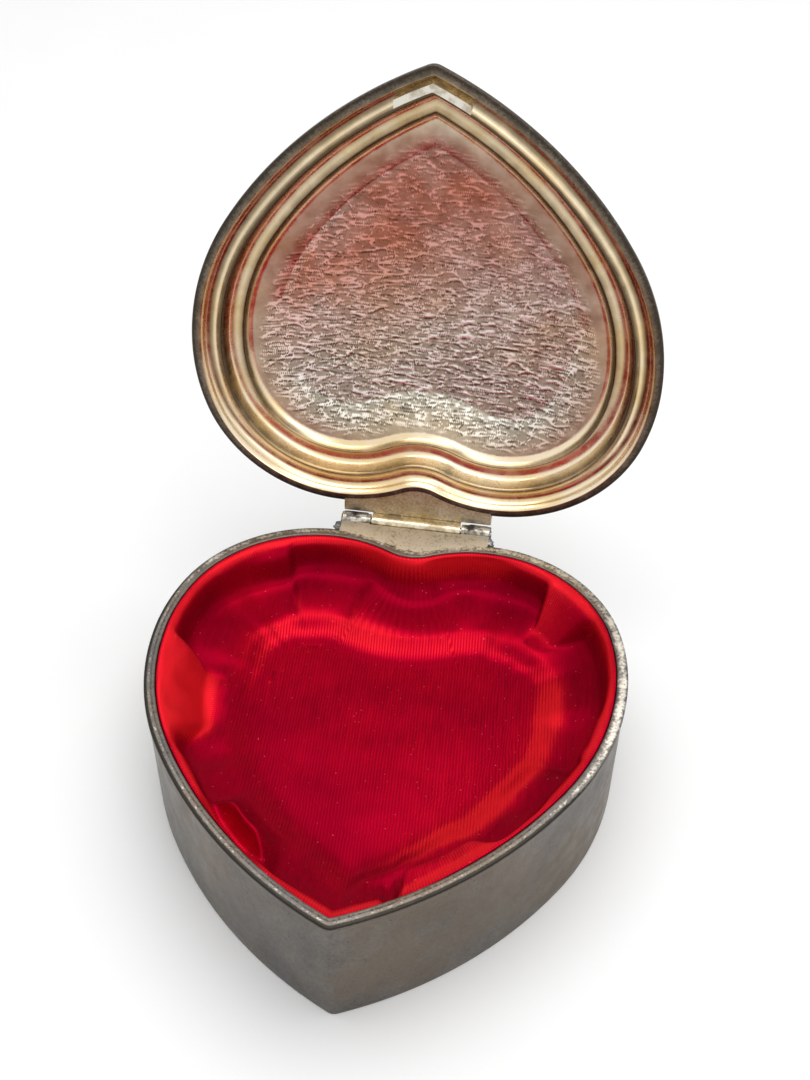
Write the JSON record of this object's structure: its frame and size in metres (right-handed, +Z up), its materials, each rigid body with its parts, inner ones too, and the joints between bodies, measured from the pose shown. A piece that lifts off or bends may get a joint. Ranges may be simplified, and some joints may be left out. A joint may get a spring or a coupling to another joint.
{
  "type": "music box",
  "caption": "Heart-shaped metal keepsake music box with a hinged stepped lid, a padded satin tray and a wind-up comb movement under its floor, wound by a key in the base.",
  "frame": {"origin": "middle of the base's footprint, on the table", "axes": "+Z up, +Y from the heart's tip to the hinge, +X to the right seen from the tip"},
  "size_m": [0.1012, 0.1291, 0.1363],
  "materials": {
    "tarnished_plate": "cast metal, silver plate darkened by tarnish",
    "silver_plate": "cast metal, silver plate with a warm tarnish",
    "painted_plate": "black painted sheet steel",
    "steel": "bright steel",
    "spring_steel": "blued spring steel",
    "gilt": "plain brass",
    "nickel": "nickel plate",
    "cast_block": "grey casting",
    "board": "grey fibreboard",
    "satin": "red satin over padding",
    "moulding": "ivory plastic"
  },
  "bodies": {
    "base": {"base_shell": "tarnished_plate", "bottom_plate": "painted_plate", "bottom_plate_screws": "steel", "bed_screws": "steel", "base_hinge_leaf": "silver_plate", "hinge_pin": "steel", "floor_board": "board", "lining_wall": "satin", "lining_floor": "satin", "bedplate": "gilt", "key_well": "painted_plate", "well_screws": "steel", "arbor_bush": "gilt", "front_bearing_post": "gilt", "rear_bearing_plate": "gilt", "comb_block": "cast_block", "comb": "steel", "comb_screws": "steel", "block_screws": "steel", "governor_frame": "gilt", "bracket_screws": "steel"},
    "lid": {"lid_shell": "silver_plate", "lid_hinge_leaf": "silver_plate", "lid_catch": "silver_plate"},
    "key": {"winding_key": "nickel", "winding_arbor": "steel", "arbor_clip": "steel"},
    "barrel": {"crown_wheel": "gilt", "spring_barrel": "steel", "mainspring": "spring_steel"},
    "cylinder": {"cylinder_arbor": "steel", "cylinder_drum": "gilt", "drum_end_caps": "gilt", "cylinder_pins": "steel", "cylinder_pinion": "gilt", "cylinder_wheel": "gilt"},
    "governor": {"governor_arbor": "steel", "governor_pinion": "gilt", "worm_wheel": "gilt"},
    "fan": {"worm_shaft": "steel", "fan": "moulding"}
  },
  "joints": [
    {"name": "lid_hinge", "type": "hinge", "parent": "base", "child": "lid", "pos_m": [0, 0.05549, 0.0306], "axis": [1, 0, 0], "range_deg": [0, 96.3]},
    {"name": "key_turn", "type": "hinge", "parent": "base", "child": "key", "pos_m": [0, 0.02714, 0.01], "axis": [0, 0, 1], "range_deg": [0, 1440]},
    {"name": "cylinder_spin", "type": "hinge", "parent": "base", "child": "cylinder", "pos_m": [0, -0.005, 0.0092], "axis": [0, 1, 0], "continuous": true},
    {"name": "barrel_spin", "type": "hinge", "parent": "base", "child": "barrel", "pos_m": [0, 0.02714, 0.01], "axis": [0, 0, 1], "continuous": true},
    {"name": "governor_spin", "type": "hinge", "parent": "base", "child": "governor", "pos_m": [-0.00663, -0.01816, 0.0077], "axis": [0, 1, 0], "continuous": true},
    {"name": "fan_spin", "type": "hinge", "parent": "base", "child": "fan", "pos_m": [-0.01138, -0.01816, 0.0077], "axis": [0, 0, 1], "continuous": true}
  ],
  "couplings": [
    {"joint": "barrel_spin", "follows": "cylinder_spin", "ratio": 0.25},
    {"joint": "governor_spin", "follows": "cylinder_spin", "ratio": -4},
    {"joint": "fan_spin", "follows": "cylinder_spin", "ratio": 96}
  ]
}
